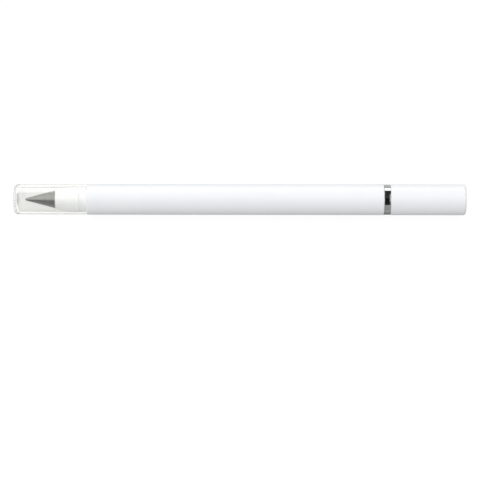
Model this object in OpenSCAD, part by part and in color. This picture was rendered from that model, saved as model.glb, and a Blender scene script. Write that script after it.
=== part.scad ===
// Dual-tip pen: a metal pencil nib at one end and a ballpoint at the other, each under its own cap.
// The pen lies along X, nib to -X, with its lowest line on Z = 0 and its middle at the origin.

/* [Barrel] */
// Outside diameter of the barrel tube, which the white cap is flush with
barrel_d = 10.2; // [9:0.1:14]
// Length of the barrel tube
barrel_len = 98.6; // [70:0.1:140]
// Wall of the barrel tube
barrel_wall = 0.8; // [0.5:0.05:1]
// Rounding of the barrel's outer rims
barrel_rim_r = 0.3; // [0.1:0.05:0.45]
// Wall of the threaded bushes inside the barrel
bush_wall = 1.05; // [0.7:0.05:1.2]
// Depth of the head bush behind the barrel's rim
bush_recess = 0.4; // [0.1:0.05:0.8]
// Wall between the collar's thread and the refill's end
bush_web = 5.6; // [2:0.1:10]
// Length of the nose bush behind the nose's threaded stem
nose_bush_extra = 3.5; // [1:0.1:8]

/* [Threads] */
// Length of the collar's threaded stem inside the barrel
collar_thread_len = 6.5; // [4:0.1:10]
// Length of the nose's threaded stem inside the barrel
nose_thread_len = 6.5; // [4:0.1:10]
// Depth of the thread's grooves
thread_depth = 0.35; // [0.2:0.05:0.5]
// Distance from one thread groove to the next
thread_pitch = 0.75; // [0.5:0.05:1.2]
// Width of a thread groove at its mouth
thread_groove_w = 0.45; // [0.3:0.05:0.48]

/* [Nib head] */
// Length of the collar in front of the barrel
collar_len = 10.6; // [8:0.1:16]
// Length of the collar's front taper
collar_taper_len = 4.6; // [2:0.1:5.5]
// Step from the nib's base out to the collar's front rim
collar_rim_step = 0.275; // [0.1:0.025:0.4]
// Base diameter of the nib's cone
nib_d = 6; // [4.5:0.1:6.4]
// Length of the nib's cone
nib_len = 10.2; // [7:0.1:14]
// Radius of the nib's blunt point
nib_tip_r = 0.45; // [0.2:0.05:0.8]
// Diameter of the nib's stem
nib_stem_d = 3; // [2:0.1:3.6]
// Length of the nib's stem
nib_stem_len = 8; // [4:0.1:10]

/* [Snap beads] */
// Height of the collar's snap bead
collar_bead_h = 0.15; // [0.05:0.01:0.2]
// Distance of the collar's snap bead from the barrel
collar_bead_at = 2.8; // [1.5:0.1:4.5]
// Height of the neck's snap bead
neck_bead_h = 0.1; // [0.05:0.01:0.15]
// Distance of the neck's snap bead from the trim ring
neck_bead_at = 2.6; // [1.2:0.1:3.5]
// Width of the snap beads
bead_w = 0.8; // [0.5:0.05:1.2]

/* [Clear cap] */
// Step from the barrel's surface down to the clear cap's
clear_cap_step = 0.1; // [0:0.05:0.3]
// Wall of the clear cap at its mouth
clear_cap_wall = 0.7; // [0.5:0.05:0.9]
// Height of the ledge where the clear cap's mouth narrows to its inner bore
clear_cap_ledge = 0.2; // [0.1:0.05:0.3]
// Depth of the clear cap's wider mouth
clear_cap_mouth = 7.2; // [7:0.1:9]
// Thickness of the clear cap's closed end
clear_cap_end = 1.1; // [0.8:0.05:1.6]
// Rounding of the clear cap's closed end, outside and inside
clear_cap_round = 1; // [0.2:0.05:1.2]
// Free room in front of the nib
nib_room = 2.45; // [0.5:0.05:6]

/* [Ball end] */
// Step from the barrel's surface down to the trim ring's
ring_step = 0.1; // [0:0.05:0.3]
// Width of the trim ring
ring_w = 2.1; // [1.5:0.1:4]
// Rounding of the trim ring's outer edges
ring_round = 0.35; // [0.1:0.05:0.6]
// Length of the nose's neck, where the white cap sits
neck_len = 5.2; // [4:0.1:7]
// Rounding of the neck's shoulder
neck_round = 0.3; // [0.1:0.05:0.4]
// Length of the nose's taper
taper_len = 9.3; // [8:0.1:12]
// Hollow of the nose's taper below a straight cone
taper_hollow = 0.38; // [0.2:0.02:0.5]
// Length of the nose's lip around the refill's point
nose_lip = 1.5; // [1:0.1:2]
// Wall of the nose's lip
nose_lip_wall = 0.57; // [0.45:0.01:0.7]

/* [Refill] */
// Outside diameter of the refill's tube
tube_d = 3; // [2.7:0.05:3.1]
// Wall of the refill's tube
tube_wall = 0.5; // [0.3:0.05:0.6]
// Diameter of the refill's metal point
tip_d = 2.25; // [2:0.05:2.4]
// Length of the metal point in front of the nose
tip_out = 4; // [3:0.1:4.5]
// Length of the point's straight part in front of the nose
tip_straight = 1.2; // [0.6:0.1:1.6]
// Diameter of the point's stem in its holder
tip_stem_d = 1.5; // [1.2:0.05:1.6]
// Length of the point's stem in its holder
tip_stem_len = 3.5; // [2:0.1:4.5]
// Length of the holder between the tube and the point
holder_len = 6; // [5:0.1:8]
// Length of the holder's plug in the tube
holder_plug_len = 3; // [2:0.1:5]
// Diameter of the ink channel
ink_channel_d = 0.7; // [0.4:0.05:0.8]
// Diameter of the writing ball
ball_d = 1; // [0.9:0.05:1.1]
// Height of the writing ball in front of its lip
ball_out = 0.3; // [0.2:0.02:0.35]
// Wall of the point's lip around the ball
tip_lip_wall = 0.08; // [0.06:0.01:0.12]
// Length of the tube's empty end behind the ink
ink_gap = 14; // [5:1:40]
// Depth of the cup that holds the refill's end
refill_cup = 2; // [1:0.1:3]

/* [White cap] */
// Wall of the white cap's shell
cap_wall = 0.5; // [0.3:0.05:0.7]
// Thickness of the white cap's closed end
cap_end = 0.9; // [0.6:0.05:1.5]
// Rounding of the white cap's closed end
cap_round = 0.7; // [0.1:0.05:0.8]
// Rounding of the caps' mouths
cap_mouth_r = 0.15; // [0.05:0.05:0.25]
// Wall of the liner inside the white cap
liner_wall = 0.35; // [0.25:0.05:0.5]
// Length of the liner inside the white cap
liner_len = 13; // [9:0.1:16]
// Depth of the liner behind the cap's mouth
liner_recess = 0.3; // [0.1:0.1:1]
// Free room in front of the refill's point
point_room = 5.45; // [1:0.05:10]

/* [Fits] */
// Radial clearance of threads, stems and caps
run_gap = 0.05; // [0.03:0.01:0.08]
// Radial clearance of the refill in the nose and the bushes
refill_gap = 0.08; // [0.05:0.01:0.1]
// Radial clearance of the writing ball in its seat
ball_gap = 0.02; // [0.015:0.005:0.03]
// Gap between faces that close on each other
seat_gap = 0.05; // [0.02:0.01:0.1]
// Room behind the end of the collar's threaded stem
thread_end_gap = 0.5; // [0.2:0.1:1]

/* [Hidden] */
$fn = 96;
// Overshoot of a cut past the face that it opens
cut = 0.1;
// Turn of each piece's seam, from the line that the pen lies on to the line along its side
seam_turn = 270;

// Lengths of the caps, from what they cover
clear_cap_len = clear_cap_end + nib_room + nib_len + collar_len - seat_gap;
cap_len = neck_len + taper_len + tip_out + point_room + cap_end;

// Places along the pen, from the clear cap's end to the white cap's end
overall_len = clear_cap_len + barrel_len + ring_w + cap_len + 3 * seat_gap;
clear_end_x = -overall_len / 2;
clear_mouth_x = clear_end_x + clear_cap_len;
barrel_x0 = clear_mouth_x + seat_gap;
barrel_x1 = barrel_x0 + barrel_len;
ring_x0 = barrel_x1 + seat_gap;
ring_x1 = ring_x0 + ring_w;
cap_mouth_x = ring_x1 + seat_gap;
cap_end_x = cap_mouth_x + cap_len;

// Places on the nib head
rim_x = barrel_x0 - collar_len;
nib_tip_x = rim_x - nib_len;
collar_stem_x = barrel_x0 + collar_thread_len;
head_bush_x0 = barrel_x0 + bush_recess;
cup_x = collar_stem_x + thread_end_gap + bush_web;
head_bush_x1 = cup_x + refill_cup;

// Places on the ball end
nose_stem_x = barrel_x1 - nose_thread_len;
nose_bush_x0 = nose_stem_x - nose_bush_extra;
neck_x1 = ring_x1 + neck_len;
nose_x1 = neck_x1 + taper_len;
point_x = nose_x1 + tip_out;
ball_x = point_x - ball_d / 2;
tip_lip_x = point_x - ball_out;
stop_x = nose_x1 - nose_lip;
holder_x1 = stop_x - seat_gap;
tube_x1 = holder_x1 - holder_len;
tube_x0 = cup_x + seat_gap;

// Radii at the barrel, and inwards to the bushes and the threaded stems
barrel_r = barrel_d / 2;
barrel_bore_r = barrel_r - barrel_wall;
bush_bore_r = barrel_bore_r - bush_wall;
thread_r = bush_bore_r - run_gap;

// Radii from the clear cap inwards to the collar
clear_cap_r = barrel_r - clear_cap_step;
clear_mouth_r = clear_cap_r - clear_cap_wall;
clear_bore_r = clear_mouth_r - clear_cap_ledge;
collar_r = clear_mouth_r - run_gap - collar_bead_h;
collar_foot_r = min(collar_r, barrel_bore_r - run_gap);
collar_rim_r = nib_d / 2 + collar_rim_step;

// Radii from the white cap inwards to the nose's neck
ring_r = barrel_r - ring_step;
cap_bore_r = barrel_r - cap_wall;
liner_bore_r = cap_bore_r - liner_wall;
neck_r = liner_bore_r - run_gap - neck_bead_h;

// Radii of the refill and of the nose's bore round it
tube_r = tube_d / 2;
tube_bore_r = tube_r - tube_wall;
tip_r = tip_d / 2;
nose_bore_r = tip_r + refill_gap;
nose_end_r = nose_bore_r + nose_lip_wall;

// Turns a flat outline of [radius, place along the pen] round the pen's axis
module turned() {
    translate([0, 0, barrel_r]) rotate([0, 90, 0]) rotate([0, 0, seam_turn]) rotate_extrude() children();
}

// Outline of a round bar from x0 to x1, with its outer corners rounded by round0 and round1
module bar(r, x0, x1, round0 = 0, round1 = 0) {
    difference() {
        translate([0, x0]) square([r, x1 - x0]);
        if (round0 > 0) corner_cut(r, x0, round0, 1);
        if (round1 > 0) corner_cut(r, x1, round1, -1);
    }
}

// Outline that is taken off a bar's corner at x; inward is the way into the bar
module corner_cut(r, x, round, inward) {
    difference() {
        translate([r - round, min(x - inward * cut, x + inward * round)]) square(round + cut);
        translate([r - round, x + inward * round]) circle(round);
    }
}

// Outline of a snap bead, an arc of the given height that stands on radius r
module bead(r, x, height) {
    arc_r = (bead_w * bead_w / 4 + height * height) / (2 * height);
    translate([r + height - arc_r, x]) circle(arc_r);
}

// Outline of a threaded stem from its free end at x0 to x1; inward is the way into the part
module threaded_stem(x0, x1, thread_len, inward) {
    difference() {
        bar(thread_r, min(x0, x1), max(x0, x1));
        for (i = [1 : floor(thread_len / thread_pitch) - 1]) {
            translate([thread_r, x0 + inward * i * thread_pitch])
                polygon([[0, -thread_groove_w / 2], [-thread_depth, 0], [0, thread_groove_w / 2]]);
        }
    }
}

// White lacquered tube that everything is fixed to
module barrel_tube() {
    color("white") turned() difference() {
        bar(barrel_r, barrel_x0, barrel_x1, barrel_rim_r, barrel_rim_r);
        bar(barrel_bore_r, barrel_x0 - cut, barrel_x1 + cut);
    }
}

// Bush in the nib end, threaded for the collar in front and cupped for the refill's end behind
module head_bush() {
    color("gainsboro") turned() difference() {
        bar(barrel_bore_r, head_bush_x0, head_bush_x1);
        bar(bush_bore_r, head_bush_x0 - cut, collar_stem_x + thread_end_gap);
        bar(tube_r + refill_gap, cup_x, head_bush_x1 + cut);
    }
}

// Bush in the ball end, threaded for the nose
module nose_bush() {
    color("gainsboro") turned() difference() {
        bar(barrel_bore_r, nose_bush_x0, barrel_x1);
        bar(bush_bore_r, nose_bush_x0 - cut, barrel_x1 + cut);
    }
}

// Alloy writing cone with a round point, on a stem that sits in the collar
module nib() {
    base_r = nib_d / 2;
    point_at = nib_tip_x + nib_tip_r;
    reach = rim_x - point_at;
    slope = acos(nib_tip_r / norm([base_r, reach])) - atan2(reach, base_r);
    touch = [nib_tip_r * cos(slope), point_at - nib_tip_r * sin(slope)];
    color("dimgray") turned() {
        polygon([[0, touch[1]], touch, [base_r, rim_x], [0, rim_x]]);
        intersection() {
            translate([0, point_at]) circle(nib_tip_r);
            bar(nib_tip_r, nib_tip_x, point_at);
        }
        bar(nib_stem_d / 2, rim_x, rim_x + nib_stem_len);
    }
}

// White collar that carries the nib, seats the clear cap and screws into the barrel
module nib_collar() {
    front_x = rim_x + seat_gap;
    foot_x = barrel_x0 - seat_gap;
    seat_x = head_bush_x0 - seat_gap;
    color("white") turned() difference() {
        union() {
            polygon([[0, front_x], [collar_rim_r, front_x], [collar_r, rim_x + collar_taper_len],
                     [collar_r, foot_x], [0, foot_x]]);
            bar(collar_foot_r, foot_x, seat_x);
            intersection() {
                bead(collar_r, barrel_x0 - collar_bead_at, collar_bead_h);
                bar(clear_mouth_r, rim_x + collar_taper_len, foot_x);
            }
            threaded_stem(collar_stem_x, seat_x, collar_thread_len, -1);
        }
        bar(nib_stem_d / 2 + run_gap, rim_x - cut, rim_x + nib_stem_len + seat_gap);
    }
}

// Clear cap, with a wider mouth that grips the collar's bead
module clear_cap() {
    color("lightcyan", 0.4) turned() difference() {
        bar(clear_cap_r, clear_end_x, clear_mouth_x, clear_cap_round, cap_mouth_r);
        bar(clear_bore_r, clear_end_x + clear_cap_end, clear_mouth_x + cut, clear_cap_round);
        bar(clear_mouth_r, clear_mouth_x - clear_cap_mouth, clear_mouth_x + cut);
    }
}

// Chrome ring that the nose clamps against the barrel
module trim_ring() {
    color("silver") turned() difference() {
        bar(ring_r, ring_x0, ring_x1, ring_round, ring_round);
        bar(bush_bore_r, ring_x0 - cut, ring_x1 + cut);
    }
}

// Chrome nose: threaded stem, neck with a snap bead, and a hollow taper round the refill
module nose_cone() {
    root_r = neck_r - neck_round;
    drop = root_r - nose_end_r;
    chord = norm([drop, taper_len]);
    hollow_r = chord * chord / (8 * taper_hollow) + taper_hollow / 2;
    away = hollow_r - taper_hollow;
    hollow_at = [(root_r + nose_end_r) / 2 + away * taper_len / chord,
                 (neck_x1 + nose_x1) / 2 + away * drop / chord];
    color("silver") turned() difference() {
        union() {
            bar(neck_r, ring_x1, neck_x1, 0, neck_round);
            intersection() {
                bead(neck_r, ring_x1 + neck_bead_at, neck_bead_h);
                bar(liner_bore_r, ring_x1, neck_x1);
            }
            difference() {
                polygon([[0, neck_x1], [root_r, neck_x1], [nose_end_r, nose_x1], [0, nose_x1]]);
                translate(hollow_at) circle(hollow_r);
            }
            threaded_stem(nose_stem_x, ring_x1, nose_thread_len, 1);
        }
        bar(tube_r + refill_gap, nose_stem_x - cut, stop_x);
        bar(nose_bore_r, nose_stem_x - cut, nose_x1 + cut);
    }
}

// Plastic ink tube of the refill
module refill_tube() {
    color("whitesmoke") turned() difference() {
        bar(tube_r, tube_x0, tube_x1);
        bar(tube_bore_r, tube_x0 - cut, tube_x1 + cut);
    }
}

// Plastic holder that plugs into the tube and carries the metal point
module tip_holder() {
    plug_x = tube_x1 - holder_plug_len;
    color("ivory") turned() difference() {
        union() {
            bar(tube_r, tube_x1, holder_x1);
            bar(tube_bore_r, plug_x, tube_x1);
        }
        bar(tip_stem_d / 2, holder_x1 - tip_stem_len, holder_x1 + cut);
        bar(ink_channel_d / 2, plug_x - cut, holder_x1);
    }
}

// Metal point of the refill, with the seat that holds the ball
module refill_tip() {
    stem_x = holder_x1 - tip_stem_len;
    seat_r = ball_d / 2 + ball_gap;
    color("darkkhaki") turned() difference() {
        union() {
            polygon([[0, holder_x1], [tip_r, holder_x1], [tip_r, nose_x1 + tip_straight],
                     [seat_r + tip_lip_wall, ball_x], [seat_r, tip_lip_x], [0, tip_lip_x]]);
            bar(tip_stem_d / 2, stem_x, holder_x1);
        }
        bar(ink_channel_d / 2, stem_x - cut, ball_x);
        translate([0, ball_x]) circle(seat_r);
    }
}

// Ball that rolls the ink out
module writing_ball() {
    color("slategray") translate([ball_x, 0, barrel_r]) sphere(ball_d / 2);
}

// Ink in the refill's tube
module ink_column() {
    color("midnightblue") turned() bar(tube_bore_r, tube_x0 + ink_gap, tube_x1 - holder_plug_len);
}

// White lacquered cap over the ball end
module cap_shell() {
    color("white") turned() difference() {
        bar(barrel_r, cap_mouth_x, cap_end_x, cap_mouth_r, cap_round);
        bar(cap_bore_r, cap_mouth_x - cut, cap_end_x - cap_end);
    }
}

// Sleeve pressed into the white cap, which grips the neck's bead
module cap_liner() {
    liner_x0 = cap_mouth_x + liner_recess;
    color("gainsboro") turned() difference() {
        bar(cap_bore_r, liner_x0, liner_x0 + liner_len);
        bar(liner_bore_r, liner_x0 - cut, liner_x0 + liner_len + cut);
    }
}

barrel_tube();
head_bush();
nose_bush();
nib();
nib_collar();
clear_cap();
trim_ring();
nose_cone();
refill_tube();
tip_holder();
refill_tip();
writing_ball();
ink_column();
cap_shell();
cap_liner();
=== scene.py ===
import math

import bmesh
import bpy
from mathutils import Matrix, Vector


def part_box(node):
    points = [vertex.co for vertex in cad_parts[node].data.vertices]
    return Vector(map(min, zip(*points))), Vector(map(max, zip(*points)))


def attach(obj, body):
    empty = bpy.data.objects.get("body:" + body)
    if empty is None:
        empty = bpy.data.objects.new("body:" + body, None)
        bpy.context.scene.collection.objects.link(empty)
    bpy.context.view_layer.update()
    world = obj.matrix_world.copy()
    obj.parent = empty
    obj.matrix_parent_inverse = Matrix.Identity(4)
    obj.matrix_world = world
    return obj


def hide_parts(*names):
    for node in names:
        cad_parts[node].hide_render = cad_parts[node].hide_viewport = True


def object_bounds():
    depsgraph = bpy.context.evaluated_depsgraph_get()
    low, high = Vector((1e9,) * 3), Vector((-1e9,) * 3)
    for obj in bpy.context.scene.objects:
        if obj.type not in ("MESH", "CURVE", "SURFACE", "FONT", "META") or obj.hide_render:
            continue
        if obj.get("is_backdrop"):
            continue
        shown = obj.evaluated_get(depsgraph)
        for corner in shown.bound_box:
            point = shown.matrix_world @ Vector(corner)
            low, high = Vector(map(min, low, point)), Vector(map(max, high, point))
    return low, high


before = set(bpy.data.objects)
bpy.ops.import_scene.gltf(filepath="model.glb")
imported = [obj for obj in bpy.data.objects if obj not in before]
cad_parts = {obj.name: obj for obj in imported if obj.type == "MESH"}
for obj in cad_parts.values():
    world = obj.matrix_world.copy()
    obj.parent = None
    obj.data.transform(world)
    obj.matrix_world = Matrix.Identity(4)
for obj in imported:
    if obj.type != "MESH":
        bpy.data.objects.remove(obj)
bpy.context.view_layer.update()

mm = 0.001
barrelLow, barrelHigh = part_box("barrel_tube")
axisZ = (barrelLow.z + barrelHigh.z) / 2  # height of the pen's axis

scene = bpy.context.scene
scene.view_settings.view_transform = "Standard"
mostBounces = 128  # light runs round and round inside the clear cap's end
scene.cycles.max_bounces = mostBounces
scene.cycles.glossy_bounces = mostBounces
scene.cycles.transmission_bounces = mostBounces
scene.cycles.blur_glossy = 0.0  # and it goes in and out of the cap unblurred

white = (1.0, 1.0, 1.0, 1.0)
mixA, mixB, mixed = 6, 7, 2  # a Mix node's colour sockets, whose names others share
once, fourTimes = 0.5, 3.5  # a ray depth above these has met that kind of surface so often


def hexColour(text):
    # sRGB hex to linear, with full alpha
    parts = [int(text[i:i + 2], 16) / 255 for i in (1, 3, 5)]
    return [p / 12.92 if p <= 0.04045 else ((p + 0.055) / 1.055) ** 2.4 for p in parts] + [1.0]


def addNode(tree, kind, values=None, links=None, **settings):
    made = tree.nodes.new(kind)
    for name, value in settings.items():
        setattr(made, name, value)
    for socket, value in (values or {}).items():
        made.inputs[socket].default_value = value
    for socket, source in (links or {}).items():
        tree.links.new(source, made.inputs[socket])
    return made


def setStops(ramp, stops):
    # greys along a colour ramp, each a place from 0 to 1 and a level
    elements = ramp.color_ramp.elements
    while len(elements) < len(stops):
        elements.new(1.0)
    for element, (place, level) in zip(elements, stops):
        element.position = place
        element.color = (level, level, level, 1.0)


def startMaterial(name):
    # a new material, its node tree and the object's coordinates in it
    material = bpy.data.materials.new(name)
    material.use_nodes = True
    tree = material.node_tree
    tree.nodes.clear()
    coords = addNode(tree, "ShaderNodeTexCoord")
    return material, tree, coords.outputs["Object"]


# Camera: above the pen, a little towards its ball end and below it in the picture
cameraSettings = {
    "lens": 135.2,  # with the distance, 3.0 px to the millimetre on the pen's axis
    "sensor": 36.0,
    "distance": 600.0,
    "across": 13.0,
    "aim": 0.2,  # place along the pen in the picture's middle
    "up": -13.45,
    "roll": 0.1,
    "nearest": 10.0, "farthest": 20000.0,
}
s = cameraSettings
lens = bpy.data.cameras.new("camera")
lens.lens = s["lens"]
lens.sensor_width = s["sensor"]
lens.clip_start = s["nearest"] * mm
lens.clip_end = s["farthest"] * mm
eye = bpy.data.objects.new("camera", lens)
eye.location = (s["across"] * mm, s["up"] * mm, axisZ + s["distance"] * mm)
lean = math.atan((s["across"] - s["aim"]) / s["distance"])
eye.rotation_euler = (0.0, lean, math.radians(s["roll"]))
scene.collection.objects.link(eye)
scene.camera = eye
print("camera: lens", s["lens"], "mm")

# Studio: a broad soft light from behind and above, all of it from the world
studioSettings = {
    "lightTilt": 28.0,  # degrees from overhead, away from the viewer
    "lightTurn": 16.0,  # and towards the nib end
    "fill": 0.29,
    "key": 1.27,
    "brightest": 5.0,  # level that a ramp's white stands for
    # what polished surfaces mirror, each row over the last: the slants along the pen between which
    # it comes in, the rays that see it, and its level by degrees from overhead towards the back
    "cards": [
        (None, None, [(-180, 0.40), (-124, 0.36), (-46, 0.45), (-40, 0.022), (-12, 0.018),
                      (2, 0.008), (14, 0.055), (26, 0.06), (36, 0.035), (70, 0.045), (78, 2.4),
                      (104, 2.4), (112, 0.9)]),
        # towards the ball end
        ((0.12, 0.30), None, [(-180, 0.6), (-26, 0.67), (-20, 0.40), (-14, 1.8), (40, 1.8),
                              (48, 0.06), (114, 0.06), (124, 0.9)]),
        # an even wall through the clear cap, and the highlight along its outside
        (None, "through", [(-180, 0.9), (180, 0.9)]),
        ((-0.098, -0.106), "outside", [(-180, 1.1), (-2, 1.1), (2, 1.7), (48, 1.7), (62, 5.0),
                                       (104, 5.0), (112, 0.9)]),
        # towards the nib end
        ((-0.20, -0.32), None, [(-180, 0.08), (-18, 0.08), (-8, 1.15), (110, 1.05), (124, 0.9)]),
        # an even wall along inside the clear cap's own wall, and dark past its closed end
        (None, "inWall", [(-180, 0.9), (180, 0.9)]),
        ((-0.70, -0.90), "inWall", [(-180, 0.08), (180, 0.08)]),
    ],
}
s = studioSettings
world = bpy.data.worlds.new("studio")
scene.world = world
world.use_nodes = True
world.cycles.sampling_method = "NONE"  # every ray finds the light itself, also inside the clear cap
sky = world.node_tree
sky.nodes.clear()
path = addNode(sky, "ShaderNodeLightPath")
through = path.outputs["Transmission Depth"]
way = addNode(sky, "ShaderNodeTexCoord").outputs["Generated"]
axes = addNode(sky, "ShaderNodeSeparateXYZ", links={"Vector": way})
angle = addNode(sky, "ShaderNodeMath", operation="ARCTAN2",
                links={0: axes.outputs["Y"], 1: axes.outputs["Z"]})
share = addNode(sky, "ShaderNodeMapRange", values={"From Min": -math.pi, "From Max": math.pi},
                links={"Value": angle.outputs[0]})
# a ray that only ran inside the clear cap's wall has been through 1 to 3 surfaces
rayKinds = {
    "outside": addNode(sky, "ShaderNodeMath", operation="LESS_THAN", values={1: once},
                       links={0: through}),
    "through": addNode(sky, "ShaderNodeMath", operation="GREATER_THAN", values={1: once},
                       links={0: through}),
    "inWall": addNode(sky, "ShaderNodeMath", operation="COMPARE", values={1: 2.0, 2: 1.4},
                      links={0: through}),
}
allCards = None
for slants, kind, stops in s["cards"]:
    ramp = addNode(sky, "ShaderNodeValToRGB", links={"Fac": share.outputs["Result"]})
    setStops(ramp, [((degrees + 180) / 360, level / s["brightest"]) for degrees, level in stops])
    card = ramp.outputs["Color"]
    if allCards is None:
        allCards = card
        continue
    over = rayKinds[kind].outputs[0] if kind else None
    if slants:
        beyond = addNode(sky, "ShaderNodeMapRange", interpolation_type="SMOOTHSTEP",
                         values={"From Min": slants[0], "From Max": slants[1]},
                         links={"Value": axes.outputs["X"]}).outputs["Result"]
        over = beyond if over is None else addNode(
            sky, "ShaderNodeMath", operation="MULTIPLY", links={0: over, 1: beyond}).outputs[0]
    allCards = addNode(sky, "ShaderNodeMix", data_type="RGBA",
                       links={"Factor": over, mixA: allCards, mixB: card}).outputs[mixed]
mirrored = addNode(sky, "ShaderNodeBackground", values={"Strength": s["brightest"]},
                   links={"Color": allCards})
tilt = math.radians(s["lightTilt"])
aside = math.tan(math.radians(s["lightTurn"]))
facing = addNode(sky, "ShaderNodeVectorMath", operation="DOT_PRODUCT",
                 values={1: (-aside, math.sin(tilt), math.cos(tilt))}, links={0: way})
lit = addNode(sky, "ShaderNodeMath", operation="MAXIMUM", values={1: 0.0},
              links={0: facing.outputs["Value"]})
light = addNode(sky, "ShaderNodeMath", operation="MULTIPLY_ADD",
                values={1: s["key"], 2: s["fill"]}, links={0: lit.outputs[0]})
soft = addNode(sky, "ShaderNodeBackground", values={"Color": white},
               links={"Strength": light.outputs[0]})
backdrop = addNode(sky, "ShaderNodeBackground", values={"Color": white, "Strength": 1.0})
wasMirrored = addNode(sky, "ShaderNodeMath", operation="GREATER_THAN", values={1: once},
                      links={0: path.outputs["Glossy Depth"]})
wasScattered = addNode(sky, "ShaderNodeMath", operation="GREATER_THAN", values={1: once},
                       links={0: path.outputs["Diffuse Depth"]})
seen = addNode(sky, "ShaderNodeMixShader",
               links={0: wasMirrored.outputs[0], 1: backdrop.outputs[0], 2: mirrored.outputs[0]})
studio = addNode(sky, "ShaderNodeMixShader",
                 links={0: wasScattered.outputs[0], 1: seen.outputs[0], 2: soft.outputs[0]})
addNode(sky, "ShaderNodeOutputWorld", links={"Surface": studio.outputs[0]})

# Floor: white to the eye with the pen's faint shadow, pale with more of it in metal and through the
# clear cap, with a painted shadow added in metal, and a plain board to the light
floorSettings = {
    "width": 700.0, "front": -350.0, "back": 75.0,
    # the rays that see each look, its own glow (none: the painted shadow in metal) and the share of
    # light it shows
    "looks": [
        ([], 0.90, 0.13),  # straight
        ([("Glossy Depth", once)], None, 0.15),  # in metal, with the painted shadow
        ([("Transmission Depth", once)], 0.64, 0.16),  # through the clear cap
        ([("Transmission Depth", once), ("Glossy Depth", once)], 0.68, 0.36),  # in its edges
        ([("Transmission Depth", fourTimes), ("Glossy Depth", once)], None, 0.25),  # in the nib in it, with the painted shadow
        ([("Diffuse Depth", once)], 0.0, 0.42),  # the light it throws back onto the pen
        ([("Diffuse Depth", once), ("Transmission Depth", once)], 0.0, 0.90),  # and into the cap
    ],
    # painted shadow in metal: a glow set by place across the pen, dark in front of it, bright behind it
    "paintedShadowInMetal": [(-60, 0.34), (-32, 0.33), (-24, 0.20), (-15, 0.20), (-10, 0.12), (-6, 0.04),
                (6, 0.30), (12, 0.62), (26, 0.50)],
    "nearPen": 100.0,  # that painted shadow's ramp reaches this far in front and behind
}
s = floorSettings
board, tree, place = startMaterial("pale board")
path = addNode(tree, "ShaderNodeLightPath")
across = addNode(tree, "ShaderNodeSeparateXYZ", links={"Vector": place})
share = addNode(tree, "ShaderNodeMapRange",
                values={"From Min": -s["nearPen"] * mm, "From Max": s["nearPen"] * mm},
                links={"Value": across.outputs["Y"]})
paintedShadow = addNode(tree, "ShaderNodeValToRGB", links={"Fac": share.outputs["Result"]})
setStops(paintedShadow, [((y + s["nearPen"]) / (2 * s["nearPen"]), level) for y, level in s["paintedShadowInMetal"]])
shown = None
for depths, glowLevel, part in s["looks"]:
    shadow = addNode(tree, "ShaderNodeBsdfDiffuse", values={"Color": (part, part, part, 1.0)})
    # a look with no glow of its own takes the painted shadow in metal as its glow, by place across the
    # pen
    if glowLevel is None:
        glow = addNode(tree, "ShaderNodeEmission", links={"Color": paintedShadow.outputs["Color"]})
    else:
        glow = addNode(tree, "ShaderNodeEmission", values={"Color": white, "Strength": glowLevel})
    look = addNode(tree, "ShaderNodeAddShader",
                   links={0: shadow.outputs[0], 1: glow.outputs[0]}).outputs[0]
    if shown is None:
        shown = look
        continue
    seen = None
    for depth, moreThan in depths:
        passed = addNode(tree, "ShaderNodeMath", operation="GREATER_THAN", values={1: moreThan},
                         links={0: path.outputs[depth]}).outputs[0]
        seen = passed if seen is None else addNode(
            tree, "ShaderNodeMath", operation="MULTIPLY", links={0: seen, 1: passed}).outputs[0]
    shown = addNode(tree, "ShaderNodeMixShader", links={0: seen, 1: shown, 2: look}).outputs[0]
addNode(tree, "ShaderNodeOutputMaterial", links={"Surface": shown})
bm = bmesh.new()
bmesh.ops.create_grid(bm, x_segments=1, y_segments=1, size=0.5)
bmesh.ops.scale(bm, vec=(s["width"] * mm, (s["back"] - s["front"]) * mm, 1.0), verts=bm.verts)
bmesh.ops.translate(bm, vec=(0.0, (s["back"] + s["front"]) / 2 * mm, 0.0), verts=bm.verts)
floorMesh = bpy.data.meshes.new("floor")
bm.to_mesh(floorMesh)
bm.free()
floorMesh.materials.append(board)
floor = bpy.data.objects.new("floor", floorMesh)
scene.collection.objects.link(floor)
floor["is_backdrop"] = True
print("studio: world light and floor")

# Materials: sizes of their patterns are in millimetres
usualNoise = (0.3, 0.7)  # nearly all of a noise lies between these
waveTurn = 20.0  # a Wave node turns by this many radians along one unit of its scaled length


def finishMaterial(tree, s, tone, shine, dents=None):
    # the colour runs between two along one pattern, and the roughness along another
    colour = addNode(tree, "ShaderNodeMix", data_type="RGBA",
                     values={mixA: hexColour(s["colours"][0]), mixB: hexColour(s["colours"][1])},
                     links={"Factor": tone})
    span = s.get("span", (0.0, 1.0))
    rough = addNode(tree, "ShaderNodeMapRange",
                    values={"From Min": span[0], "From Max": span[1],
                            "To Min": s["roughness"][0], "To Max": s["roughness"][1]},
                    links={"Value": shine})
    links = {"Base Color": colour.outputs[mixed], "Roughness": rough.outputs["Result"]}
    if dents is not None:
        links["Normal"] = dents
    shader = addNode(tree, "ShaderNodeBsdfPrincipled", values=s["shader"], links=links)
    addNode(tree, "ShaderNodeOutputMaterial", links={"Surface": shader.outputs["BSDF"]})


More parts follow.
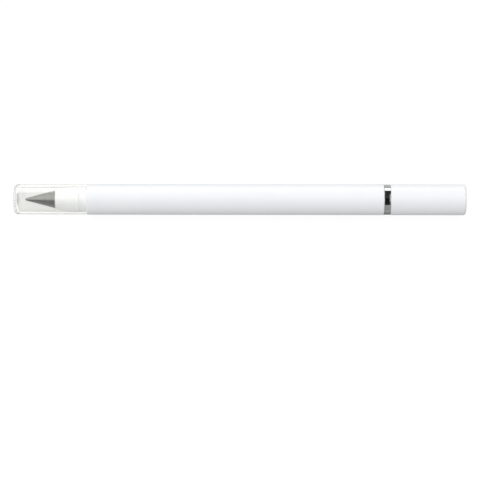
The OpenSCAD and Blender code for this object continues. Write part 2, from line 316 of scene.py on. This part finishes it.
# Satin white lacquer, sprayed on aluminium and baked: even, faintly cool white with a fine peel
lacquerFinish = {"colours": ("#eaecef", "#eef0f2"), "drift": 7.0,  # drifts of film thickness
                 "peel": 0.7, "peelDeep": 0.003, "peelBump": 0.6,
                 "roughness": (0.30, 0.38), "span": usualNoise, "shader": {"IOR": 1.5}}
s = lacquerFinish
lacquer, tree, place = startMaterial("satin white lacquer")
drift = addNode(tree, "ShaderNodeTexNoise", values={"Scale": 1 / (s["drift"] * mm), "Detail": 2.0},
                links={"Vector": place})
peel = addNode(tree, "ShaderNodeTexNoise", values={"Scale": 1 / (s["peel"] * mm), "Detail": 1.0},
               links={"Vector": place})
dents = addNode(tree, "ShaderNodeBump",
                values={"Strength": s["peelBump"], "Distance": s["peelDeep"] * mm},
                links={"Height": peel.outputs["Fac"]})
finishMaterial(tree, s, drift.outputs["Fac"], peel.outputs["Fac"], dents.outputs["Normal"])

# White ABS, injection moulded: a little glossier than the lacquer, with the mould's fine grain
absFinish = {"colours": ("#edeff0", "#f1f2f3"), "flow": 3.0,
             "grain": 0.25, "grainDeep": 0.002, "grainBump": 0.2,
             "roughness": (0.28, 0.35), "span": usualNoise, "shader": {"IOR": 1.54}}
s = absFinish
whiteAbs, tree, place = startMaterial("white moulded ABS")
flow = addNode(tree, "ShaderNodeTexNoise", values={"Scale": 1 / (s["flow"] * mm), "Detail": 2.0},
               links={"Vector": place})
grain = addNode(tree, "ShaderNodeTexNoise", values={"Scale": 1 / (s["grain"] * mm), "Detail": 2.0},
                links={"Vector": place})
pits = addNode(tree, "ShaderNodeBump",
               values={"Strength": s["grainBump"], "Distance": s["grainDeep"] * mm},
               links={"Height": grain.outputs["Fac"]})
finishMaterial(tree, s, flow.outputs["Fac"], grain.outputs["Fac"], pits.outputs["Normal"])

# Clear polystyrene, injection moulded in a polished mould: bright, a touch olive, with faint waves
clearFinish = {"colour": "#fefefc", "roughness": 0.02, "ior": 1.59,
               "wave": 2.5, "waveLong": 4.0, "waveDeep": 0.003, "waveBump": 0.2}
s = clearFinish
clearStyrene, tree, place = startMaterial("clear moulded polystyrene")
stretch = addNode(tree, "ShaderNodeMapping", values={"Scale": (1 / s["waveLong"], 1.0, 1.0)},
                  links={"Vector": place})  # the melt flowed along the cap
waves = addNode(tree, "ShaderNodeTexNoise", values={"Scale": 1 / (s["wave"] * mm), "Detail": 1.0},
                links={"Vector": stretch.outputs["Vector"]})
ripple = addNode(tree, "ShaderNodeBump",
                 values={"Strength": s["waveBump"], "Distance": s["waveDeep"] * mm},
                 links={"Height": waves.outputs["Fac"]})
clear = addNode(tree, "ShaderNodeBsdfPrincipled",
                values={"Base Color": hexColour(s["colour"]), "Roughness": s["roughness"],
                        "IOR": s["ior"], "Transmission Weight": 1.0},
                links={"Normal": ripple.outputs["Normal"]})
addNode(tree, "ShaderNodeOutputMaterial", links={"Surface": clear.outputs["BSDF"]})

# Grey writing alloy, turned to a point: dull metal with the lathe's rings round it
alloyFinish = {"colours": ("#8d8d8b", "#a3a3a0"), "patch": 1.2,
               "ring": 0.6, "ringDeep": 0.002, "ringBump": 0.1,  # drawn wide apart, so that it shows
               "roughness": (0.27, 0.35), "shader": {"Metallic": 1.0}}
s = alloyFinish
alloy, tree, place = startMaterial("turned grey alloy")
rings = addNode(tree, "ShaderNodeTexWave", wave_type="BANDS", bands_direction="X",
                values={"Scale": 2 * math.pi / (waveTurn * s["ring"] * mm), "Distortion": 0.4,
                        "Detail": 2.0, "Detail Scale": 6.0}, links={"Vector": place})
patches = addNode(tree, "ShaderNodeTexNoise", values={"Scale": 1 / (s["patch"] * mm), "Detail": 3.0},
                  links={"Vector": place})
cuts = addNode(tree, "ShaderNodeBump",
               values={"Strength": s["ringBump"], "Distance": s["ringDeep"] * mm},
               links={"Height": rings.outputs["Fac"]})
finishMaterial(tree, s, patches.outputs["Fac"], rings.outputs["Fac"], cuts.outputs["Normal"])

# Chrome plate, polished on a wheel: a mirror with a breath of haze in bands round the pen
chromeFinish = {"colours": ("#c6c7c6", "#cdcecd"), "mark": 0.15, "markRound": 0.06,
                "roughness": (0.02, 0.07), "span": usualNoise, "shader": {"Metallic": 1.0}}
s = chromeFinish
chrome, tree, place = startMaterial("polished chrome plate")
wrap = addNode(tree, "ShaderNodeMapping", values={"Scale": (1.0, s["markRound"], s["markRound"])},
               links={"Vector": place})  # draws the marks out round the pen
wheel = addNode(tree, "ShaderNodeTexNoise", values={"Scale": 1 / (s["mark"] * mm), "Detail": 3.0},
                links={"Vector": wrap.outputs["Vector"]})
finishMaterial(tree, s, wheel.outputs["Fac"], wheel.outputs["Fac"])

# Nickel silver, turned: warm grey metal with close tool rings
nickelFinish = {"colours": ("#b3af9f", "#c2beaf"), "ring": 0.24,
                "roughness": (0.14, 0.24), "shader": {"Metallic": 1.0}}
s = nickelFinish
nickelSilver, tree, place = startMaterial("turned nickel silver")
rings = addNode(tree, "ShaderNodeTexWave", wave_type="BANDS", bands_direction="X",
                values={"Scale": 2 * math.pi / (waveTurn * s["ring"] * mm), "Distortion": 0.3,
                        "Detail": 1.0}, links={"Vector": place})
finishMaterial(tree, s, rings.outputs["Fac"], rings.outputs["Fac"])

# Tungsten carbide, sintered and ground: dark polished metal with a fine grain
carbideFinish = {"colours": ("#777778", "#8c8c8d"), "grain": 0.04,  # drawn coarse, so that it shows
                 "roughness": (0.10, 0.20), "shader": {"Metallic": 1.0}}
s = carbideFinish
carbide, tree, place = startMaterial("ground tungsten carbide")
grain = addNode(tree, "ShaderNodeTexVoronoi", values={"Scale": 1 / (s["grain"] * mm)},
                links={"Vector": place})
finishMaterial(tree, s, grain.outputs["Distance"], grain.outputs["Distance"])

# Acetal, turned or moulded: matte pale grey plastic for the bushes and the cap's sleeve
acetalFinish = {"colours": ("#dcdee0", "#e4e6e7"), "cloud": 1.5,
                "roughness": (0.42, 0.55), "shader": {"IOR": 1.48}}
s = acetalFinish
acetal, tree, place = startMaterial("matte acetal")
cloud = addNode(tree, "ShaderNodeTexNoise", values={"Scale": 1 / (s["cloud"] * mm), "Detail": 3.0},
                links={"Vector": place})
finishMaterial(tree, s, cloud.outputs["Fac"], cloud.outputs["Fac"])

# Polypropylene, extruded: milky, half clear tube with draw lines along it
propyleneFinish = {"colours": ("#e8ece9", "#f0f3f1"), "line": 0.3, "lineLong": 20.0,
                   "roughness": (0.26, 0.38), "shader": {"IOR": 1.49, "Transmission Weight": 0.45}}
s = propyleneFinish
polypropylene, tree, place = startMaterial("milky polypropylene")
draw = addNode(tree, "ShaderNodeMapping", values={"Scale": (1 / s["lineLong"], 1.0, 1.0)},
               links={"Vector": place})
lines = addNode(tree, "ShaderNodeTexNoise", values={"Scale": 1 / (s["line"] * mm), "Detail": 2.0},
                links={"Vector": draw.outputs["Vector"]})
finishMaterial(tree, s, lines.outputs["Fac"], lines.outputs["Fac"])

# Ballpoint ink: thick, dark blue and wet, with slow swirls
inkFinish = {"colours": ("#101a44", "#18245a"), "swirl": 2.0,
             "roughness": (0.08, 0.16), "shader": {"IOR": 1.45}}
s = inkFinish
ink, tree, place = startMaterial("blue ballpoint ink")
swirl = addNode(tree, "ShaderNodeTexNoise",
                values={"Scale": 1 / (s["swirl"] * mm), "Detail": 2.0, "Distortion": 1.0},
                links={"Vector": place})
finishMaterial(tree, s, swirl.outputs["Fac"], swirl.outputs["Fac"])
print("materials:", len(bpy.data.materials))

# Turning: a rounding below each size gets so many segments
turnSettings = {"segments": [(0.3, 5), (2.0, 8), (math.inf, 24)], "weld": 0.0002}


def turn(bm, outline, closed=False, steps=160):
    # turns an outline of (place along the pen, radius, corner rounding) round the pen's axis
    before = set(bm.verts)
    corners = [bm.verts.new((x * mm, 0.0, axisZ + r * mm)) for x, r, rounding in outline]
    nextCorners = corners[1:] + corners[:1] if closed else corners[1:]
    for a, b in zip(corners, nextCorners):
        bm.edges.new((a, b))
    for size in sorted({row[2] for row in outline if row[2] > 0}):
        rounded = [v for v, row in zip(corners, outline) if row[2] == size]
        segments = next(count for below, count in turnSettings["segments"] if size < below)
        bmesh.ops.bevel(bm, geom=rounded, offset=size * mm, offset_type="OFFSET", affect="VERTICES",
                        segments=segments, profile=0.5, material=-1)
    line = [v for v in bm.verts if v not in before]
    wires = list({e for v in line for e in v.link_edges})
    bmesh.ops.spin(bm, geom=line + wires, cent=(0.0, 0.0, axisZ), axis=(1.0, 0.0, 0.0),
                   angle=2 * math.pi, steps=steps, use_merge=True)
    bmesh.ops.remove_doubles(bm, verts=[v for v in bm.verts if v not in before],
                             dist=turnSettings["weld"] * mm)


# Threads: both screws have the same one, and it is wound a few turns longer than it is cut
threadSettings = {"crest": 3.2, "deep": 0.35, "pitch": 0.75, "groove": 0.45, "steps": 48,
                  "turnsBefore": 2, "turnsMore": 3, "weld": 0.0005, "cutGap": 0.0001, "near": 0.01}


def cutThread(bm, start, end, bore=0.0):
    # a helical thread between two places: one pitch of its outline, wound, cut square and closed
    s = threadSettings
    before = set(bm.verts)
    x = start - s["turnsBefore"] * s["pitch"]
    land = s["pitch"] - s["groove"]
    outline = [(x, s["crest"]), (x + land, s["crest"]),
               (x + land + s["groove"] / 2, s["crest"] - s["deep"]), (x + s["pitch"], s["crest"])]
    corners = [bm.verts.new((place * mm, 0.0, axisZ + r * mm)) for place, r in outline]
    wires = [bm.edges.new(pair) for pair in zip(corners, corners[1:])]
    turns = math.ceil((end - start) / s["pitch"]) + s["turnsMore"]
    bmesh.ops.spin(bm, geom=corners + wires, cent=(0.0, 0.0, axisZ), axis=(1.0, 0.0, 0.0),
                   dvec=(s["pitch"] * mm / s["steps"], 0.0, 0.0), angle=2 * math.pi * turns,
                   steps=s["steps"] * turns)
    bmesh.ops.remove_doubles(bm, verts=[v for v in bm.verts if v not in before],
                             dist=s["weld"] * mm)
    for place, outwards in ((start, -1.0), (end, 1.0)):
        mine = [v for v in bm.verts if v not in before]
        edges = list({e for v in mine for e in v.link_edges})
        faces = list({f for v in mine for f in v.link_faces})
        bmesh.ops.bisect_plane(bm, geom=mine + edges + faces, dist=s["cutGap"] * mm,
                               plane_co=(place * mm, 0.0, axisZ), plane_no=(outwards, 0.0, 0.0),
                               clear_outer=True)
    mine = [v for v in bm.verts if v not in before]
    rims = [e for e in {e for v in mine for e in v.link_edges} if e.is_boundary]
    if not bore:
        bmesh.ops.edgeloop_fill(bm, edges=rims)
        return
    holes = []
    for place in (start, end):
        across = Matrix.Translation((place * mm, 0.0, axisZ)) @ Matrix.Rotation(math.pi / 2, 4, "Y")
        hole = bmesh.ops.create_circle(bm, segments=s["steps"], radius=bore * mm, matrix=across)
        holes.append(list({e for v in hole["verts"] for e in v.link_edges}))
        rim = [e for e in rims if abs(e.verts[0].co.x - place * mm) < s["near"] * mm]
        bmesh.ops.bridge_loops(bm, edges=rim + holes[-1])
    bmesh.ops.bridge_loops(bm, edges=holes[0] + holes[1])


sharpFrom = math.radians(35)


def makePiece(name, bm, material, body, slot, *nodes):
    bmesh.ops.recalc_face_normals(bm, faces=bm.faces)
    mesh = bpy.data.meshes.new(name)
    bm.to_mesh(mesh)
    bm.free()
    mesh.shade_smooth()
    mesh.set_sharp_from_angle(angle=sharpFrom)
    mesh.materials.append(material)
    made = bpy.data.objects.new(name, mesh)
    scene.collection.objects.link(made)
    even = made.modifiers.new("even shading", "WEIGHTED_NORMAL")
    even.keep_sharp = True
    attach(made, body)
    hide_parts(*nodes)
    print(name, len(mesh.polygons), "faces")


def placeOf(node):
    # ends along the pen and outside radius of a CAD node, in millimetres
    low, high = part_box(node)
    return low.x / mm, high.x / mm, (high.z - low.z) / 2 / mm


# Barrel: a plain lacquered tube with rolled rims
barrelSettings = {"wall": 0.8, "rim": 0.2, "innerEdge": 0.1}
s = barrelSettings
x0, x1, r = placeOf("barrel_tube")
bore = r - s["wall"]
bm = bmesh.new()
turn(bm, [(x0, r, s["rim"]), (x1, r, s["rim"]), (x1, bore, s["innerEdge"]), (x0, bore, s["innerEdge"])],
     closed=True)
makePiece("barrel", bm, lacquer, "barrel", "white_lacquer", "barrel_tube")

# Head bush: blind threaded bore in front, cup for the refill's end behind
headBushSettings = {"bore": 3.25, "boreDeep": 6.6, "cup": 1.58, "cupDeep": 2.0, "edge": 0.15,
                    "fineEdge": 0.05}
s = headBushSettings
x0, x1, r = placeOf("head_bush")
boreEnd = x0 + s["boreDeep"]
cupEnd = x1 - s["cupDeep"]
bm = bmesh.new()
turn(bm, [(boreEnd, 0, 0), (boreEnd, s["bore"], 0), (x0, s["bore"], s["edge"]), (x0, r, s["fineEdge"]),
          (x1, r, s["edge"]), (x1, s["cup"], s["fineEdge"]), (cupEnd, s["cup"], 0), (cupEnd, 0, 0)],
     steps=96)
makePiece("headBush", bm, acetal, "barrel", "bush_plastic", "head_bush")

# Nose bush: threaded sleeve in the ball end
noseBushSettings = {"bore": 3.25, "edge": 0.15, "fineEdge": 0.05}
s = noseBushSettings
x0, x1, r = placeOf("nose_bush")
bm = bmesh.new()
turn(bm, [(x0, r, s["edge"]), (x1, r, s["fineEdge"]), (x1, s["bore"], s["edge"]),
          (x0, s["bore"], s["edge"])], closed=True, steps=96)
makePiece("noseBush", bm, acetal, "barrel", "bush_plastic", "nose_bush")

# Nib: turned cone with a round point, on a stem in the collar
nibSettings = {"length": 10.2, "stem": 1.5, "stemEdge": 0.15, "pointFlat": 0.35,
               "pointRound": 0.349,  # just under the flat, which leaves a dome
               "baseEdge": 0.06}
s = nibSettings
x0, x1, r = placeOf("nib")
base = x0 + s["length"]
bm = bmesh.new()
turn(bm, [(x0, 0, 0), (x0, s["pointFlat"], s["pointRound"]), (base, r, s["baseEdge"]),
          (base, s["stem"], 0), (x1, s["stem"], s["stemEdge"]), (x1, 0, 0)])
makePiece("nib-cone", bm, alloy, "nib", "nib_alloy", "nib")

# Collar: tapered front, snap bead for the clear cap, threaded stem into the barrel
collarSettings = {"rim": 3.275, "taper": 4.55, "radius": 4.1, "hole": 1.55, "holeDeep": 8.0,
                  "holeEdge": 0.1, "frontEdge": 0.12, "shoulder": 0.9, "seatEdge": 0.12,
                  "beadPeak": 0.3, "beadRound": 0.42,  # the rounding takes half of the peak away
                  "beadRoot": 0.12, "beadHalf": 0.4, "beadBack": 3.15, "seatBack": 6.15,
                  "threadIn": 0.2}
s = collarSettings
x0, x1, r = placeOf("nib_collar")
seat = x1 - s["seatBack"]
bead = seat - s["beadBack"]
holeEnd = x0 + s["holeDeep"]
bm = bmesh.new()
cutThread(bm, seat - s["threadIn"], x1)
turn(bm, [(holeEnd, 0, 0), (holeEnd, s["hole"], 0), (x0, s["hole"], s["holeEdge"]),
          (x0, s["rim"], s["frontEdge"]), (x0 + s["taper"], s["radius"], s["shoulder"]),
          (bead - s["beadHalf"], s["radius"], s["beadRoot"]),
          (bead, s["radius"] + s["beadPeak"], s["beadRound"]),
          (bead + s["beadHalf"], s["radius"], s["beadRoot"]),
          (seat, s["radius"], s["seatEdge"]), (seat, 0, 0)])
makePiece("collar-body", bm, whiteAbs, "collar", "white_plastic", "nib_collar")

# Clear cap: thin wall, wider mouth with a ledge inside, closed end with the mould's gate mark
clearCapSettings = {"mouth": 4.3, "mouthDeep": 7.2, "mouthEdge": 0.06, "ledge": 0.05,
                    "ledgeLong": 0.5, "bore": 4.1, "end": 1.0, "round": 1.0, "innerRound": 1.0,
                    "edge": 0.1, "gate": 0.7, "gateDeep": 0.12, "gateSlope": 0.2}
s = clearCapSettings
x0, x1, r = placeOf("clear_cap")
ledge = x1 - s["mouthDeep"]
gateEnd = x0 + s["gateDeep"]
boreEnd = x0 + s["end"]
bm = bmesh.new()
turn(bm, [(gateEnd, 0, 0), (gateEnd, s["gate"] - s["gateSlope"], s["edge"]),
          (x0, s["gate"], s["edge"]), (x0, r, s["round"]), (x1, r, s["mouthEdge"]),
          (x1, s["mouth"], s["edge"]), (ledge + s["ledgeLong"], s["mouth"], s["edge"]),
          (ledge, s["mouth"] - s["ledge"], s["edge"]), (boreEnd, s["bore"], s["innerRound"]),
          (boreEnd, 0, 0)], steps=192)
makePiece("clearCap", bm, clearStyrene, "clear_cap", "clear_plastic", "clear_cap")

# Trim ring: chrome band with broken edges
ringSettings = {"bore": 3.25, "edge": 0.06, "innerEdge": 0.1}
s = ringSettings
x0, x1, r = placeOf("trim_ring")
bm = bmesh.new()
turn(bm, [(x0, r, s["edge"]), (x1, r, s["edge"]), (x1, s["bore"], s["innerEdge"]),
          (x0, s["bore"], s["innerEdge"])], closed=True, steps=192)
makePiece("trimRing", bm, chrome, "nose", "chrome", "trim_ring")

# Nose: neck with a snap bead for the white cap, hollow taper to the refill's point, threaded stem
noseSettings = {"neck": 4.1, "neckLong": 5.2, "neckEdge": 0.3, "backEdge": 0.12,
                "beadPeak": 0.2, "beadRound": 0.42,  # the rounding takes half of the peak away
                "beadRoot": 0.12, "beadHalf": 0.4, "beadAt": 2.6,
                "root": 3.8, "rootStep": 0.02, "hollow": 0.38, "hollowEnds": 0.35,
                "lip": 1.775, "lipEdge": 0.12, "lipBore": 1.205, "lipBoreEdge": 0.08,
                "lipLong": 1.5, "bore": 1.58, "threadIn": 0.2}
s = noseSettings
neckFrom = placeOf("trim_ring")[1]
x0, x1, r = placeOf("nose_cone")
neckEnd = neckFrom + s["neckLong"]
bead = neckFrom + s["beadAt"]
lipEnd = x1 - s["lipLong"]
taper = x1 - neckEnd
fall = s["root"] - s["lip"]
chord = math.hypot(taper, fall)
# the hollow's corner lies two hollows below the middle of the straight taper
dip = ((neckEnd + x1) / 2 - 2 * s["hollow"] * fall / chord,
       (s["root"] + s["lip"]) / 2 - 2 * s["hollow"] * taper / chord)
bm = bmesh.new()
cutThread(bm, x0, neckFrom + s["threadIn"], s["bore"])
turn(bm, [(neckFrom, s["bore"], 0), (neckFrom, s["neck"], s["backEdge"]),
          (bead - s["beadHalf"], s["neck"], s["beadRoot"]),
          (bead, s["neck"] + s["beadPeak"], s["beadRound"]),
          (bead + s["beadHalf"], s["neck"], s["beadRoot"]), (neckEnd, s["neck"], s["neckEdge"]),
          (neckEnd, s["root"] - s["rootStep"], s["rootStep"]), (*dip, chord / 2 - s["hollowEnds"]),
          (x1, s["lip"], s["lipEdge"]), (x1, s["lipBore"], s["lipBoreEdge"]),
          (lipEnd, s["lipBore"], 0), (lipEnd, s["bore"], 0)], closed=True, steps=192)
makePiece("noseCone", bm, chrome, "nose", "chrome", "nose_cone")

# Refill: what its pieces share, then ink tube, holder, metal point with its ball, and the ink
refillSettings = {"tubeBore": 1.0, "pointStem": 0.75, "pointStemLong": 3.5, "channel": 0.35}
tubeBore, stem = refillSettings["tubeBore"], refillSettings["pointStem"]
stemLong, channel = refillSettings["pointStemLong"], refillSettings["channel"]

tubeSettings = {"edge": 0.1}
s = tubeSettings
x0, x1, r = placeOf("refill_tube")
bm = bmesh.new()
turn(bm, [(x0, r, s["edge"]), (x1, r, s["edge"]), (x1, tubeBore, s["edge"]), (x0, tubeBore, s["edge"])],
     closed=True, steps=64)
makePiece("refillTube", bm, polypropylene, "refill", "tube_plastic", "refill_tube")

holderSettings = {"plugLong": 3.0, "plugEdge": 0.15, "backEdge": 0.12, "frontEdge": 0.3,
                  "fineEdge": 0.05}
s = holderSettings
x0, x1, r = placeOf("tip_holder")
plugEnd = x0 + s["plugLong"]
stemEnd = x1 - stemLong
bm = bmesh.new()
turn(bm, [(x0, tubeBore, s["plugEdge"]), (plugEnd, tubeBore, 0), (plugEnd, r, s["backEdge"]),
          (x1, r, s["frontEdge"]), (x1, stem, s["fineEdge"]), (stemEnd, stem, 0),
          (stemEnd, channel, 0), (x0, channel, s["fineEdge"])], closed=True, steps=64)
makePiece("tipHolder", bm, polypropylene, "refill", "tube_plastic", "tip_holder")

pointSettings = {"straight": 2.75, "stemEdge": 0.06, "backEdge": 0.08, "shoulder": 0.12,
                 "grooveFrom": 0.35, "grooveTo": 0.07, "grooveSlope": 0.05, "grooveDeep": 0.09,
                 "lip": 0.6, "lipLong": 0.2, "crimpLong": 0.25, "crimpSlope": 0.04, "lipRound": 0.1,
                 "seat": 0.52, "seatDeep": 0.3, "seatEdge": 0.02, "fineEdge": 0.05}
s = pointSettings
x0, x1, r = placeOf("refill_tip")
stemEnd = x0 + stemLong
front = stemEnd + s["straight"]
ballAt = x1 - s["lipLong"]
grooveR = r - s["grooveDeep"]
bm = bmesh.new()
turn(bm, [(x0, channel, 0), (x0, stem, s["stemEdge"]), (stemEnd, stem, 0), (stemEnd, r, s["backEdge"]),
          (front - s["grooveFrom"], r, s["fineEdge"]),
          (front - s["grooveFrom"] + s["grooveSlope"], grooveR, 0),
          (front - s["grooveTo"] - s["grooveSlope"], grooveR, 0),
          (front - s["grooveTo"], r, s["fineEdge"]), (front, r, s["shoulder"]),
          (ballAt - s["crimpLong"], s["lip"] + s["crimpSlope"], s["lipRound"]),
          (ballAt, s["lip"], s["lipRound"]), (x1, s["seat"], s["seatEdge"]),
          (ballAt, s["seat"], s["lipRound"]), (ballAt - s["seatDeep"], channel, s["fineEdge"])],
     closed=True, steps=96)
makePiece("refillPoint", bm, nickelSilver, "refill", "point_metal", "refill_tip")

ballSettings = {"meridians": 64, "rings": 32}
low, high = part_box("writing_ball")
bm = bmesh.new()
bmesh.ops.create_uvsphere(bm, u_segments=ballSettings["meridians"], v_segments=ballSettings["rings"],
                          radius=(high.x - low.x) / 2)
bmesh.ops.translate(bm, vec=(low + high) / 2, verts=bm.verts)
makePiece("writingBall", bm, carbide, "ball", "ball_carbide", "writing_ball")

inkSettings = {"hollow": 0.5, "hollowEdge": 0.2, "frontEdge": 0.1}  # hollow at its free end
s = inkSettings
x0, x1, r = placeOf("ink_column")
bm = bmesh.new()
turn(bm, [(x0 + s["hollow"], 0, 0), (x0, r, s["hollowEdge"]), (x1, r, s["frontEdge"]), (x1, 0, 0)],
     steps=64)
makePiece("inkColumn", bm, ink, "refill", "ink", "ink_column")

# White cap: drawn aluminium shell with a sleeve pressed in
capSettings = {"bore": 4.6, "end": 0.9, "endRound": 0.7, "innerRound": 0.3, "mouthEdge": 0.1}
s = capSettings
x0, x1, r = placeOf("cap_shell")
boreEnd = x1 - s["end"]
bm = bmesh.new()
turn(bm, [(x1, 0, 0), (x1, r, s["endRound"]), (x0, r, s["mouthEdge"]), (x0, s["bore"], s["mouthEdge"]),
          (boreEnd, s["bore"], s["innerRound"]), (boreEnd, 0, 0)])
makePiece("whiteCap", bm, lacquer, "white_cap", "white_lacquer", "cap_shell")

sleeveSettings = {"bore": 4.25, "edge": 0.15, "fineEdge": 0.05}
s = sleeveSettings
x0, x1, r = placeOf("cap_liner")
bm = bmesh.new()
turn(bm, [(x0, r, s["fineEdge"]), (x1, r, s["fineEdge"]), (x1, s["bore"], s["edge"]),
          (x0, s["bore"], s["edge"])], closed=True)
makePiece("capSleeve", bm, acetal, "white_cap", "bush_plastic", "cap_liner")

low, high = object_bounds()
print("size:", [round((high - low)[i] / mm, 2) for i in range(3)], "mm")
